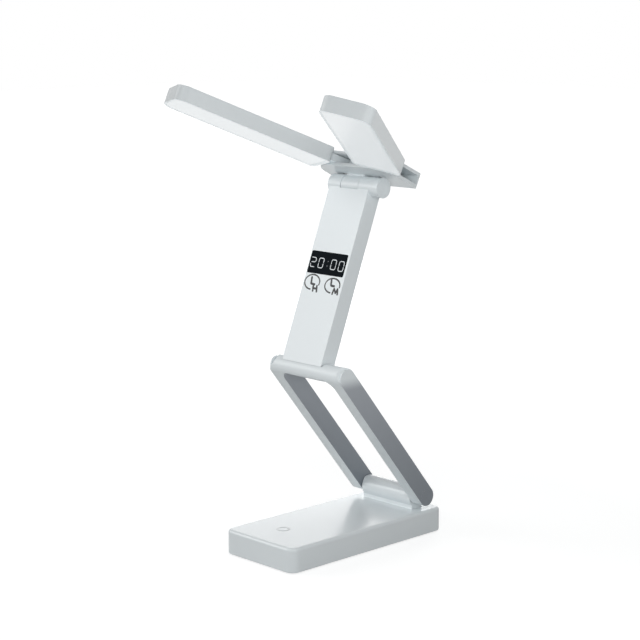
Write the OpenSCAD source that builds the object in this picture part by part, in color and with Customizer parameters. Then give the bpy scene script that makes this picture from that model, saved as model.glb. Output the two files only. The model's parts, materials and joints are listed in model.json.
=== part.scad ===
// Folding LED desk lamp: a flat base, a window-shaped lower frame, an upper arm
// with a clock display, and a head of two light panels that swivel apart.
// Origin: centre of the underside of the base. X is the width, +Y the hinge end, +Z up.

/* [Base] */
// Length of the base, front to back
base_l = 160; // [156:1:176]
// Width of the base
base_w = 73; // [70:0.5:78]
// Height of the top face above the table
base_h = 19.2; // [18.5:0.1:20.5]
// Radius of the upright corners
base_corner_r = 7; // [5:0.5:10]
// Radius of the edge round the top face
base_edge_r = 2.4; // [1.5:0.1:3]
// Distance of the touch ring from the middle, along the width
touch_x = -5.5; // [-10:0.5:10]
// Distance of the touch ring from the middle, along the length
touch_y = -49.5; // [-60:0.5:-40]

/* [Base hinge] */
// Distance of the hinge axis behind the middle of the base
hinge_y = 60.5; // [56:0.5:62]
// Height of the hinge axis
hinge_z = 31; // [30:0.1:34]
// Radius of the hinge barrel that stands on the base
barrel_r = 8; // [7.8:0.1:8.5]
// Length of the hinge barrel
barrel_l = 51; // [48:0.5:51]

/* [Lower frame] */
// Width over both legs
frame_w = 75; // [75:0.5:78]
// Thickness of the legs
frame_t = 14.6; // [14.4:0.1:15]
// Width of one leg
leg_w = 11; // [10.5:0.1:11]
// Distance between the two hinge axes of the frame
frame_l = 136.5; // [120:0.5:145]
// Angle of the legs to the table
frame_angle = 50.5; // [45:0.5:60]

/* [Upper arm] */
// Width of the arm
arm_w = 41; // [40:0.5:41]
// Thickness of the arm
arm_t = 13.4; // [13.2:0.1:13.6]
// Distance between the elbow axis and the tilt axis
arm_l = 142; // [135:0.5:150]
// Angle by which the arm leans back from upright
arm_lean = 21.27; // [10:0.01:30]
// Distance of the arm from the middle, along the width
arm_shift = -5; // [-5:0.5:-4]

/* [Display] */
// Width of the display window
display_w = 38; // [34:0.5:38]
// Height of the display window
display_h = 17.2; // [15:0.1:18]
// Distance of the middle of the window from the elbow axis
display_z = 79.5; // [76:0.5:84]
// Distance of the window from the middle of the arm
display_shift = -0.6; // [-0.6:0.1:0]

/* [Head] */
// Angle of the head to the table
head_angle = 25.1; // [10:0.1:40]
// Thickness of the head
head_t = 11.5; // [11.5:0.1:12.5]
// Width of one light panel
panel_w = 37.1; // [36:0.1:37.1]
// Distance from a swivel pin to the tip of its panel
panel_reach = 147; // [125:1:150]
// Radius of the outer corner at a panel's tip
panel_tip_r = 9.6; // [6:0.1:12]
// Radius of the inner corner at a panel's tip
panel_inner_r = 8.5; // [3.5:0.1:9]
// Angle by which the left panel is swung out
left_swing = 24.1; // [0:0.1:90]
// Angle by which the right panel is swung out
right_swing = 30.3; // [0:0.1:90]

/* [Walls and fits] */
// Thickness of the moulded walls
wall = 2.2; // [2:0.1:2.4]
// Radial clearance of a pin that turns in its bore
running_fit = 0.05; // [0.03:0.01:0.08]
// Radius of the base hinge pin
base_pin_r = 3; // [2.5:0.1:3.2]
// Radius of the elbow pin and of the tilt pin
arm_pin_r = 2.5; // [2.2:0.1:2.6]
// Radius of the swivel pins
swivel_pin_r = 3; // [2.5:0.1:3.5]

/* [Hidden] */
$fn = 48;

WHITE = "whitesmoke";
MILKY = "white";
STEEL = "silver";
RUBBER = "dimgray";
BOARD = "seagreen";
DARK = [0.08, 0.08, 0.09];

// Slack that lets a cutting shape run past the face that it cuts
over = 1;
// Gap between two moulded parts that lie in each other
nest_gap = 0.2;
// Gap between round faces that turn past each other
curved_gap = 0.3;

// Base: the sole lies on the table, the plate closes the shell
sole_t = 0.9;
plate_t = 2.4;
plate_top = sole_t + plate_t;
ceiling_z = base_h - wall;
foot_edge_r = 0.8;
cavity_w = base_w - 2 * wall;
cavity_l = base_l - 2 * wall;
cavity_corner_r = base_corner_r - wall;
boss_r = 3.2;
base_screw_x = 28;
base_screw_y = 70;
screw_r = 1.25;
screw_head_r = 2.6;
screw_head_t = 1.2;
ballast = [58, 84, 2.5];
ballast_y = -24;
battery = [46, 66, 8];
board = [44, 40, 1.6];
board_y = 50;
board_z = 6.4;
board_hole_x = 18;
board_hole_y = 15;
touch_r = 5;
touch_ring_t = 1.5;
touch_ring_depth = 0.8;
touch_proud = 0.15;
sensor_r = 7.5;
sensor_t = 1.2;
usb_w = 9;
usb_h = 3.3;
usb_depth = 7.5;
usb_wall = 0.3;
usb_z = board_z + board[2] + usb_h / 2;
// The barrel stands a little lower than its pin and behind it
barrel_y = hinge_y + 1.5;
barrel_z = hinge_z - 3;
pedestal_w = 11;
pedestal_fillet_r = 1;
base_washer_r = 4.5;

// Lower frame: Z runs from the base hinge to the elbow, +Y is the back
frame_r = frame_t / 2;
window_half = frame_w / 2 - leg_w;
frame_corner_r = 8;
window_corner_r = 9;
crossbar_rise = 1.2;
elbow_y = hinge_y - frame_l * cos(frame_angle);
elbow_z = hinge_z + frame_l * sin(frame_angle);
pocket_r = 6.3;
pocket_drop = 12;
side_gap = 1;
pocket_from = arm_shift - arm_w / 2 - side_gap;
pocket_to = arm_shift + arm_w / 2 + side_gap;
elbow_boss_r = 5;
cap_r = 4.6;
cap_t = 1.5;
pin_half = frame_w / 2 - cap_t - 0.5;
leg_x = window_half + leg_w / 2;
channel_w = 6.6;
channel_from = 20;
channel_to = frame_l - 20.5;
leg_cover_w = 8.2;
leg_cover_t = 1.6;
leg_cover_from = 9;
leg_cover_to = frame_l - 9;
leg_screw_from = 14;
leg_screw_to = frame_l - 14.5;
wire_bore_r = 1.5;
wire_r = 0.6;
washer_t = 0.8;

// Upper arm: Z runs from the elbow to the tilt axis, -Y is the front
arm_front = -arm_t / 2;
cover_t = 2.2;
cover_back = arm_front + cover_t;
arm_back = arm_t / 2;
knuckle_r = 6;
elbow_clear_r = frame_r + curved_gap;
tilt_y = elbow_y + arm_l * sin(arm_lean);
tilt_z = elbow_z + arm_l * cos(arm_lean);
tilt_barrel_r = 7.5;
tilt_left = -22.5;
tilt_right = 28.5;
slot_half = 9.4;
slot_drop = 4.3;
tilt_cap_r = 5;
tilt_cap_t = 1.2;
arm_cavity_w = arm_w - 2 * wall;
arm_cavity_back = arm_back - 1.8;
arm_cavity_from = 10;
arm_cavity_to = arm_l - 14;
arm_screw_x = 16;
arm_screw_z = [20, arm_l - 24];
arm_boss_r = 2.6;
small_screw_r = 0.9;
small_head_r = 1.9;
small_head_t = 1.1;
clock_board_w = 34;
clock_board_from = 34;
clock_board_to = 104;
clock_board_front = -1.6;
clock_board_t = 1.6;
clock_screw_x = 14;
clock_screw_z = [38, 100];
glass_t = 1;
display_rim = 1.4;
key_board_from = 46;
key_board_to = 66;
key_board_t = 0.8;
coin_r = 8;
coin_t = 3.2;
coin_at = [-4, 50];
arm_wire_x = 9;
arm_wire_y = 3.4;
wire_pitch = 1.5;

// Head: Z is its upward normal, -Y points to the tips of the panels
head_low = tilt_barrel_r + curved_gap;
head_top = head_low + head_t;
carrier_back = 18.5;
carrier_wall = 3;
carrier_plate_t = 2.5;
carrier_corner_r = 3;
carrier_post_front = -14;
tongue_gap = 0.5;
tongue_low = head_low + carrier_plate_t + tongue_gap;
tongue_top = head_top - carrier_plate_t - tongue_gap;
tongue_r = 12;
swivel_x = 18.75;
carrier_knuckle_r = 7.2;
carrier_knuckle_half = 8.9;
carrier_neck_half = 3.5;
carrier_post_half = 4.5;
carrier_screw_x = [-34, 0, 34];
carrier_screw_y = carrier_back - carrier_wall / 2 - 0.2;
swivel_washer_r = 8;
swivel_washer_t = 0.4;
tilt_washer_t = 0.4;
tilt_washer_r = 6.5;
panel_start = 20.5;
swing_gap = 0.4;
lobe_r = panel_start - swing_gap;
carrier_half = swivel_x + lobe_r;
panel_rear_r = 4;
panel_wall = 1.6;
panel_rear_wall = 3;
panel_skin = 2;
diffuser_t = 1.6;
diffuser_rise = 0.15;
led_board_w = 27;
led_board_t = 1.2;
led_size = 3;
led_t = 0.8;
led_columns = 3;
led_rows = 9;
led_pitch_x = 9;
led_pitch_y = 12;
led_board_l = 110;
led_screw_x = 11;
led_screw_y = 42;
led_mid_y = -(panel_start + panel_rear_wall + panel_reach - panel_wall) / 2;

// Shared shapes

// Rectangle with round corners, centred
module rounded_rect(w, l, r) {
    square([w - 2 * r, l], center = true);
    square([w, l - 2 * r], center = true);
    for (sx = [-1, 1], sy = [-1, 1])
        translate([sx * (w / 2 - r), sy * (l / 2 - r)])
            circle(r);
}

// Flat plate with round upright corners, standing on z = 0
module rounded_plate(w, l, h, r) {
    linear_extrude(h)
        rounded_rect(w, l, r);
}

// Upright section of a slab: one radius along its top edges, another along its bottom
module soft_section(w, h, top_r, bottom_r) {
    translate([-w / 2, bottom_r])
        square([w, h - top_r - bottom_r]);
    translate([-w / 2 + bottom_r, 0])
        square([w - 2 * bottom_r, h / 2]);
    translate([-w / 2 + top_r, h / 2])
        square([w - 2 * top_r, h / 2]);
    for (s = [-1, 1]) {
        translate([s * (w / 2 - top_r), h - top_r])
            circle(top_r);
        translate([s * (w / 2 - bottom_r), bottom_r])
            circle(bottom_r);
    }
}

// Slab with round upright corners and soft top and bottom edges
module soft_slab(w, l, h, corner_r, top_r, bottom_r) {
    rotate([90, 0, 0])
        linear_extrude(l - 2 * corner_r, center = true)
            soft_section(w, h, top_r, bottom_r);
    rotate([90, 0, 90])
        linear_extrude(w - 2 * corner_r, center = true)
            soft_section(l, h, top_r, bottom_r);
    for (sx = [-1, 1], sy = [-1, 1])
        translate([sx * (w / 2 - corner_r), sy * (l / 2 - corner_r), 0])
            rotate_extrude()
                intersection() {
                    soft_section(2 * corner_r, h, top_r, bottom_r);
                    translate([0, -over])
                        square([corner_r + over, h + 2 * over]);
                }
}

// Block between two corners
module block(low, high) {
    translate(low)
        cube(high - low);
}

// Round bar along X
module bar_x(r, from_x, to_x) {
    translate([from_x, 0, 0])
        rotate([0, 90, 0])
            cylinder(r = r, h = to_x - from_x);
}

// Round bar along Y
module bar_y(r, from_y, to_y) {
    translate([0, to_y, 0])
        rotate([90, 0, 0])
            cylinder(r = r, h = to_y - from_y);
}

// Tube along X, such as a hollow hinge pin or a washer
module tube_x(r, bore, from_x, to_x) {
    difference() {
        bar_x(r, from_x, to_x);
        bar_x(bore, from_x - over, to_x + over);
    }
}

// Section drawn as (y, z), carried along X
module carry_x(from_x, to_x) {
    translate([from_x, 0, 0])
        rotate([90, 0, 90])
            linear_extrude(to_x - from_x)
                children();
}

// Outline drawn as (x, z), carried along Y
module carry_y(from_y, to_y) {
    translate([0, to_y, 0])
        rotate([90, 0, 0])
            linear_extrude(to_y - from_y)
                children();
}

// Screw along +Z: its head starts at z = 0
module screw(r, head_r, head_t, length) {
    cylinder(r = head_r, h = head_t);
    cylinder(r = r, h = head_t + length);
}

// Places

module on_base_hinge() {
    translate([0, hinge_y, hinge_z])
        children();
}

module on_frame() {
    on_base_hinge()
        rotate([90 - frame_angle, 0, 0])
            children();
}

module on_frame_elbow() {
    on_frame()
        translate([0, 0, frame_l])
            children();
}

module on_arm() {
    translate([arm_shift, elbow_y, elbow_z])
        rotate([-arm_lean, 0, 0])
            children();
}

module on_arm_tilt() {
    on_arm()
        translate([0, 0, arm_l])
            children();
}

module on_head() {
    translate([0, tilt_y, tilt_z])
        rotate([-head_angle, 0, 0])
            children();
}

// side is -1 on the left and 1 on the right
module on_panel(side) {
    swing = side < 0 ? -left_swing : right_swing;
    on_head()
        translate([side * swivel_x, 0, 0])
            rotate([0, 0, swing])
                children();
}

module at_base_screws() {
    for (sx = [-1, 1], sy = [-1, 1])
        translate([sx * base_screw_x, sy * base_screw_y, 0])
            children();
}

module at_board_screws() {
    for (sx = [-1, 1], sy = [-1, 1])
        translate([sx * board_hole_x, board_y + sy * board_hole_y, 0])
            children();
}

module at_leg_screws() {
    for (sx = [-1, 1], z = [leg_screw_from, leg_screw_to])
        translate([sx * leg_x, 0, z])
            children();
}

module at_arm_screws() {
    for (sx = [-1, 1], z = arm_screw_z)
        translate([sx * arm_screw_x, 0, z])
            children();
}

module at_clock_screws() {
    for (sx = [-1, 1], z = clock_screw_z)
        translate([sx * clock_screw_x, 0, z])
            children();
}

module at_led_screws() {
    for (sx = [-1, 1], sy = [-1, 1])
        translate([sx * led_screw_x, led_mid_y + sy * led_screw_y, 0])
            children();
}

// Base

// Barrel on an upright foot, with a hollow curve where the foot meets the base
module barrel_section() {
    translate([barrel_y, barrel_z])
        circle(barrel_r);
    translate([barrel_y - pedestal_w / 2, ceiling_z])
        square([pedestal_w, barrel_z - ceiling_z]);
    difference() {
        translate([barrel_y - pedestal_w / 2 - pedestal_fillet_r, ceiling_z + over])
            square([pedestal_w + 2 * pedestal_fillet_r, base_h - ceiling_z - over + pedestal_fillet_r]);
        for (s = [-1, 1])
            translate([barrel_y + s * (pedestal_w / 2 + pedestal_fillet_r), base_h + pedestal_fillet_r])
                circle(pedestal_fillet_r);
    }
}

module base_shell() {
    color(WHITE)
        difference() {
            union() {
                difference() {
                    translate([0, 0, sole_t])
                        soft_slab(base_w, base_l, base_h - sole_t, base_corner_r, base_edge_r, foot_edge_r);
                    rounded_plate(cavity_w, cavity_l, ceiling_z, cavity_corner_r);
                }
                carry_x(-barrel_l / 2, barrel_l / 2)
                    barrel_section();
                at_base_screws()
                    translate([0, 0, plate_top])
                        cylinder(r = boss_r, h = ceiling_z - plate_top + over);
                at_board_screws()
                    translate([0, 0, board_z + board[2]])
                        cylinder(r = boss_r, h = ceiling_z - board_z - board[2] + over);
            }
            on_base_hinge()
                bar_x(base_pin_r, -barrel_l, barrel_l);
            at_base_screws()
                cylinder(r = screw_r, h = ceiling_z - over);
            at_board_screws()
                cylinder(r = small_screw_r, h = ceiling_z - over);
            translate([touch_x, touch_y, base_h - touch_ring_depth])
                touch_ring_shape(touch_ring_depth + over);
            translate([0, base_l / 2, usb_z])
                usb_slot(usb_w, usb_h, 2 * usb_depth);
        }
}

module base_plate() {
    color(WHITE)
        difference() {
            translate([0, 0, sole_t])
                rounded_plate(cavity_w - 2 * nest_gap, cavity_l - 2 * nest_gap, plate_t,
                    cavity_corner_r - nest_gap);
            at_base_screws() {
                cylinder(r = screw_r, h = plate_top + over);
                cylinder(r = screw_head_r, h = sole_t + screw_head_t);
            }
        }
}

module rubber_sole() {
    color(RUBBER)
        rounded_plate(cavity_w - 6, cavity_l - 6, sole_t, cavity_corner_r);
}

module base_screws() {
    color(STEEL)
        at_base_screws()
            translate([0, 0, sole_t])
                screw(screw_r, screw_head_r, screw_head_t, 9);
}

module ballast_plate() {
    color(STEEL)
        translate([-ballast[0] / 2, ballast_y - ballast[1] / 2, plate_top])
            cube(ballast);
}

// Flat pouch cell with the folded seams along its sides
module battery_pack() {
    color("lightsteelblue")
        translate([0, ballast_y, plate_top + ballast[2]])
            soft_slab(battery[0], battery[1], battery[2], 3, 2, 2);
}

module main_board() {
    color(BOARD)
        difference() {
            translate([-board[0] / 2, board_y - board[1] / 2, board_z])
                cube(board);
            at_board_screws()
                cylinder(r = small_screw_r, h = base_h);
        }
}

module board_screws() {
    color(STEEL)
        at_board_screws()
            translate([0, 0, board_z - small_head_t])
                screw(small_screw_r, small_head_r, small_head_t, 7);
}

// Slot with round ends that runs along Y, centred on its mouth
module usb_slot(w, h, depth) {
    carry_y(-depth / 2, depth / 2)
        union() {
            square([w - h, h], center = true);
            for (s = [-1, 1])
                translate([s * (w - h) / 2, 0])
                    circle(h / 2);
        }
}

module usb_socket() {
    color(STEEL)
        translate([0, base_l / 2 - 0.4 - usb_depth / 2, usb_z]) {
            difference() {
                usb_slot(usb_w, usb_h, usb_depth);
                translate([0, over, 0])
                    usb_slot(usb_w - 2 * usb_wall, usb_h - 2 * usb_wall, usb_depth);
            }
            block([-3.3, -usb_depth / 2, -0.35], [3.3, usb_depth / 2 - over, 0.35]);
        }
}

// Flat ring, standing on z = 0
module touch_ring_shape(h) {
    difference() {
        cylinder(r = touch_r, h = h);
        translate([0, 0, -over])
            cylinder(r = touch_r - touch_ring_t, h = h + 2 * over);
    }
}

module touch_ring() {
    color("gray")
        translate([touch_x, touch_y, base_h - touch_ring_depth])
            touch_ring_shape(touch_ring_depth + touch_proud);
}

module touch_sensor() {
    color(BOARD)
        translate([touch_x, touch_y, ceiling_z - sensor_t])
            cylinder(r = sensor_r, h = sensor_t);
}

module base_hinge_pin() {
    color(STEEL)
        on_base_hinge()
            tube_x(base_pin_r, wire_bore_r, -pin_half, pin_half);
}

module base_hinge_washers() {
    color("gray")
        on_base_hinge()
            for (s = [0, 1])
                mirror([s, 0, 0])
                    tube_x(base_washer_r, base_pin_r, barrel_l / 2, barrel_l / 2 + washer_t);
}

// Lower frame

// Side view of the frame: round about both hinge axes
module frame_section() {
    translate([-frame_r, 0])
        square([frame_t, frame_l]);
    for (z = [0, frame_l])
        translate([0, z])
            circle(frame_r);
}

// Front view of the frame: two legs and a crossbar round an open window
module frame_outline() {
    top = frame_l + frame_r;
    difference() {
        union() {
            translate([-frame_w / 2, -frame_r - over])
                square([frame_w, top - frame_corner_r + frame_r + over]);
            translate([-frame_w / 2 + frame_corner_r, 0])
                square([frame_w - 2 * frame_corner_r, top]);
            for (s = [-1, 1])
                translate([s * (frame_w / 2 - frame_corner_r), top - frame_corner_r])
                    circle(frame_corner_r);
        }
        window_outline(frame_l + crossbar_rise);
    }
}

module window_outline(top) {
    translate([-window_half, -frame_r - 2 * over])
        square([2 * window_half, top - window_corner_r + frame_r + 2 * over]);
    translate([-window_half + window_corner_r, 0])
        square([2 * (window_half - window_corner_r), top]);
    for (s = [-1, 1])
        translate([s * (window_half - window_corner_r), top - window_corner_r])
            circle(window_corner_r);
}

// Room for the arm's knuckle: closed by a thin skin in front, open to the back
module elbow_pocket() {
    bar_x(pocket_r, pocket_from, pocket_to);
    block([pocket_from, -pocket_r, -pocket_drop], [pocket_to, frame_t, 0]);
    block([pocket_from, 0, -pocket_drop], [pocket_to, frame_t, frame_r + over]);
}

module lower_frame() {
    color(WHITE)
        on_frame()
            difference() {
                union() {
                    difference() {
                        intersection() {
                            carry_x(-frame_w / 2, frame_w / 2)
                                frame_section();
                            carry_y(-frame_t, frame_t)
                                frame_outline();
                        }
                        translate([0, 0, frame_l])
                            elbow_pocket();
                    }
                    translate([0, 0, frame_l])
                        bar_x(elbow_boss_r, pocket_to, window_half + over);
                }
                bar_x(base_pin_r + running_fit, -frame_w, frame_w);
                translate([0, 0, frame_l])
                    bar_x(arm_pin_r, -frame_w, frame_w);
                for (z = [0, frame_l], s = [0, 1])
                    translate([0, 0, z])
                        mirror([s, 0, 0])
                            bar_x(cap_r, frame_w / 2 - cap_t, frame_w);
                for (s = [-1, 1])
                    translate([s * leg_x, 0, 0]) {
                        block([-channel_w / 2, -frame_r + wall, channel_from],
                            [channel_w / 2, frame_t, channel_to]);
                        block([-leg_cover_w / 2, frame_r - leg_cover_t, leg_cover_from],
                            [leg_cover_w / 2, frame_t, leg_cover_to]);
                        cylinder(r = wire_bore_r, h = frame_l);
                    }
                at_leg_screws()
                    bar_y(small_screw_r, frame_r - leg_cover_t - 4, frame_t);
            }
}

module leg_covers() {
    color(WHITE)
        on_frame()
            difference() {
                for (s = [-1, 1])
                    translate([s * leg_x, 0, 0])
                        block([-leg_cover_w / 2 + nest_gap / 2, frame_r - leg_cover_t,
                                leg_cover_from + nest_gap / 2],
                            [leg_cover_w / 2 - nest_gap / 2, frame_r, leg_cover_to - nest_gap / 2]);
                at_leg_screws() {
                    bar_y(small_screw_r, 0, frame_t);
                    bar_y(small_head_r, frame_r - small_head_t, frame_t);
                }
            }
}

module leg_cover_screws() {
    color(STEEL)
        on_frame()
            at_leg_screws()
                translate([0, frame_r, 0])
                    rotate([90, 0, 0])
                        screw(small_screw_r, small_head_r, small_head_t, 4);
}

// The leads that run up inside the right leg
module frame_wires() {
    color("firebrick")
        on_frame()
            for (s = [-1, 1])
                translate([leg_x + s * (wire_r + 0.1), 0, base_pin_r + over])
                    cylinder(r = wire_r, h = frame_l - base_pin_r - arm_pin_r - 2 * over);
}

module hinge_caps() {
    for (s = [0, 1])
        mirror([s, 0, 0])
            bar_x(cap_r, frame_w / 2 - cap_t, frame_w / 2);
}

module base_hinge_caps() {
    color(WHITE)
        on_base_hinge()
            hinge_caps();
}

module elbow_caps() {
    color(WHITE)
        on_frame_elbow()
            hinge_caps();
}

module elbow_pin() {
    color(STEEL)
        on_frame_elbow()
            tube_x(arm_pin_r, wire_r + 0.5, -pin_half, pin_half);
}

module elbow_washers() {
    color("gray")
        on_frame_elbow() {
            tube_x(knuckle_r - 0.8, arm_pin_r, pocket_from, pocket_from + washer_t);
            tube_x(elbow_boss_r, arm_pin_r, pocket_to - washer_t, pocket_to);
        }
}

// Upper arm

// Side view of the back shell, from the elbow knuckle to the tilt barrel
module arm_section() {
    circle(knuckle_r);
    polygon([[0, 0], [cover_back, 0], [cover_back, 12], [arm_back, 12], [arm_back, 4.2], [5.9, 1]]);
    translate([cover_back, 10])
        square([arm_back - cover_back, arm_l - 10]);
    translate([0, arm_l])
        circle(tilt_barrel_r);
}

// Room for the head's knuckle and for its neck, which turns down to the front
module arm_slot() {
    translate([0, 0, arm_l])
        bar_x(carrier_knuckle_r + curved_gap, -slot_half, slot_half);
    block([-slot_half, -arm_t, arm_l - slot_drop], [slot_half, arm_t, arm_l + 2 * tilt_barrel_r]);
}

module arm_back_shell() {
    color(WHITE)
        on_arm()
            difference() {
                union() {
                    difference() {
                        union() {
                            carry_x(-arm_w / 2, arm_w / 2)
                                arm_section();
                            translate([0, 0, arm_l])
                                bar_x(tilt_barrel_r, tilt_left, tilt_right);
                        }
                        block([-arm_cavity_w / 2, -arm_t, arm_cavity_from],
                            [arm_cavity_w / 2, arm_cavity_back, arm_cavity_to]);
                    }
                    at_arm_screws()
                        bar_y(arm_boss_r, nest_gap, arm_cavity_back + over);
                }
                arm_slot();
                bar_x(arm_pin_r + running_fit, -arm_w, arm_w);
                translate([0, 0, arm_l]) {
                    bar_x(arm_pin_r, tilt_left - over, tilt_right + over);
                    bar_x(tilt_cap_r, tilt_left - over, tilt_left + tilt_cap_t);
                    bar_x(tilt_cap_r, tilt_right - tilt_cap_t, tilt_right + over);
                }
                at_arm_screws() {
                    bar_y(small_screw_r + 0.2, -over, arm_t);
                    bar_y(small_head_r + 0.1, arm_back - 1.3, arm_t);
                }
            }
}

module display_outline(inset) {
    translate([display_shift, display_z])
        rounded_rect(display_w - 2 * inset, display_h - 2 * inset, 1.2);
}

module arm_front_cover() {
    color(WHITE)
        on_arm()
            difference() {
                union() {
                    block([-arm_w / 2, arm_front, 0], [arm_w / 2, cover_back, arm_l]);
                    at_arm_screws()
                        bar_y(arm_boss_r, cover_back - over, 0);
                    at_clock_screws()
                        bar_y(arm_boss_r - 0.4, cover_back - over, clock_board_front);
                }
                bar_x(elbow_clear_r, -arm_w, arm_w);
                translate([0, 0, arm_l])
                    bar_x(tilt_barrel_r + 0.1, -arm_w, arm_w);
                arm_slot();
                carry_y(arm_front - over, arm_front + glass_t)
                    display_outline(0);
                carry_y(arm_front - over, arm_t)
                    display_outline(display_rim);
                at_arm_screws()
                    bar_y(small_screw_r, arm_front + 1.2, over);
                at_clock_screws()
                    bar_y(small_screw_r, arm_front + 1.2, over);
            }
}

module display_window() {
    color(DARK)
        on_arm()
            carry_y(arm_front, arm_front + glass_t)
                display_outline(nest_gap / 4);
}

module display_module() {
    color("black")
        on_arm()
            translate([display_shift, 0, display_z])
                block([-display_w / 2 + 2, arm_front + glass_t, -display_h / 2 + 2],
                    [display_w / 2 - 2, clock_board_front, display_h / 2 - 2]);
}

module clock_board() {
    color(BOARD)
        on_arm()
            difference() {
                block([-clock_board_w / 2, clock_board_front, clock_board_from],
                    [clock_board_w / 2, clock_board_front + clock_board_t, clock_board_to]);
                at_clock_screws()
                    bar_y(small_screw_r, -arm_t, arm_t);
            }
}

module clock_board_screws() {
    color(STEEL)
        on_arm()
            at_clock_screws()
                translate([0, clock_board_front + clock_board_t + small_head_t, 0])
                    rotate([90, 0, 0])
                        screw(small_screw_r, small_head_r, small_head_t, 4.5);
}

module key_sensor_board() {
    color(BOARD)
        on_arm()
            block([-clock_board_w / 2, cover_back, key_board_from],
                [clock_board_w / 2, cover_back + key_board_t, key_board_to]);
}

module coin_cell() {
    color(STEEL)
        on_arm()
            translate([coin_at[0], 0, coin_at[1]])
                bar_y(coin_r, clock_board_front + clock_board_t, clock_board_front + clock_board_t + coin_t);
}

module arm_screws() {
    color(STEEL)
        on_arm()
            at_arm_screws()
                translate([0, arm_back - 0.2, 0])
                    rotate([90, 0, 0])
                        screw(small_screw_r, small_head_r, small_head_t, 9);
}

// The leads to the head, held along the right side of the arm
module arm_wires() {
    color("firebrick")
        on_arm()
            for (i = [0 : 2])
                translate([arm_wire_x + i * wire_pitch, arm_wire_y, arm_cavity_from + over])
                    cylinder(r = wire_r, h = arm_cavity_to - arm_cavity_from - 2 * over);
}

module tilt_pin() {
    color(STEEL)
        on_arm_tilt()
            tube_x(arm_pin_r, wire_r + 0.5, tilt_left + tilt_cap_t, tilt_right - tilt_cap_t);
}

module tilt_end_caps() {
    color(WHITE)
        on_arm_tilt() {
            bar_x(tilt_cap_r, tilt_left, tilt_left + tilt_cap_t);
            bar_x(tilt_cap_r, tilt_right - tilt_cap_t, tilt_right);
        }
}

// Head

// Plan of the carrier, drawn as (x, y): its front is round about both swivel pins, so that the
// straight ends of the panels swing past it
module carrier_plan() {
    for (s = [-1, 1]) {
        translate([s * swivel_x, 0])
            intersection() {
                circle(lobe_r);
                translate([-lobe_r, -lobe_r])
                    square([2 * lobe_r, lobe_r + over]);
            }
        translate([s * (carrier_half - carrier_corner_r), carrier_back - carrier_corner_r])
            circle(carrier_corner_r);
    }
    translate([-swivel_x, -lobe_r])
        square([2 * swivel_x, lobe_r + over]);
    translate([-carrier_half, 0])
        square([2 * carrier_half, carrier_back - carrier_corner_r]);
    translate([-carrier_half + carrier_corner_r, 0])
        square([2 * (carrier_half - carrier_corner_r), carrier_back]);
}

module at_swivels() {
    for (s = [-1, 1])
        translate([s * swivel_x, 0, 0])
            children();
}

module at_carrier_screws() {
    for (x = carrier_screw_x)
        translate([x, carrier_screw_y, 0])
            children();
}

module head_carrier() {
    color(WHITE)
        on_head()
            difference() {
                union() {
                    translate([0, 0, head_low])
                        linear_extrude(carrier_plate_t)
                            carrier_plan();
                    intersection() {
                        translate([0, 0, head_low])
                            linear_extrude(head_t - carrier_plate_t)
                                carrier_plan();
                        union() {
                            block([-carrier_half, carrier_back - carrier_wall, 0],
                                [carrier_half, carrier_back + over, head_top]);
                            block([-carrier_post_half, carrier_post_front, 0],
                                [carrier_post_half, carrier_back, head_top]);
                        }
                    }
                    translate([arm_shift, 0, 0]) {
                        bar_x(carrier_knuckle_r, -carrier_knuckle_half, carrier_knuckle_half);
                        block([-carrier_knuckle_half, -carrier_neck_half, 0],
                            [carrier_knuckle_half, carrier_neck_half, head_low + over]);
                    }
                }
                bar_x(arm_pin_r + running_fit, -arm_w, arm_w);
                at_swivels()
                    cylinder(r = swivel_pin_r, h = head_top);
                at_carrier_screws() {
                    cylinder(r = small_screw_r, h = head_top);
                    cylinder(r = small_head_r - 0.4, h = head_low + small_head_t);
                }
            }
}

module carrier_cover() {
    color(WHITE)
        on_head()
            difference() {
                translate([0, 0, head_top - carrier_plate_t])
                    linear_extrude(carrier_plate_t)
                        carrier_plan();
                at_swivels()
                    cylinder(r = swivel_pin_r, h = head_top - 1);
                at_carrier_screws()
                    cylinder(r = small_screw_r, h = head_top - 1);
            }
}

module carrier_screws() {
    color(STEEL)
        on_head()
            at_carrier_screws()
                translate([0, 0, head_low])
                    screw(small_screw_r, small_head_r - 0.4, small_head_t, 9);
}

module swivel_pins() {
    color(STEEL)
        on_head()
            at_swivels()
                translate([0, 0, head_low + 0.5])
                    cylinder(r = swivel_pin_r, h = head_t - 1.5);
}

module swivel_washers() {
    color("gray")
        on_head()
            at_swivels()
                for (z = [head_low + carrier_plate_t, head_top - carrier_plate_t - swivel_washer_t])
                    translate([0, 0, z])
                        difference() {
                            cylinder(r = swivel_washer_r, h = swivel_washer_t);
                            translate([0, 0, -over])
                                cylinder(r = swivel_pin_r, h = swivel_washer_t + 2 * over);
                        }
}

module tilt_washers() {
    color("gray")
        on_head()
            translate([arm_shift, 0, 0])
                for (s = [0, 1])
                    mirror([s, 0, 0])
                        tube_x(tilt_washer_r, arm_pin_r + running_fit, carrier_knuckle_half,
                            carrier_knuckle_half + tilt_washer_t);
}

// Light panels: drawn once, with the swivel pin at x = y = 0

// The half of a panel's plan on the +X side of its middle
module half_panel(half_w, tip, tip_r, rear, rear_r) {
    translate([-over, tip + tip_r])
        square([half_w + over, rear - rear_r - tip - tip_r]);
    translate([-over, tip])
        square([half_w + over - tip_r, panel_reach / 2]);
    translate([-over, rear - panel_reach / 2])
        square([half_w + over - rear_r, panel_reach / 2]);
    translate([half_w - tip_r, tip + tip_r])
        circle(tip_r);
    translate([half_w - rear_r, rear - rear_r])
        circle(rear_r);
}

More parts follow.
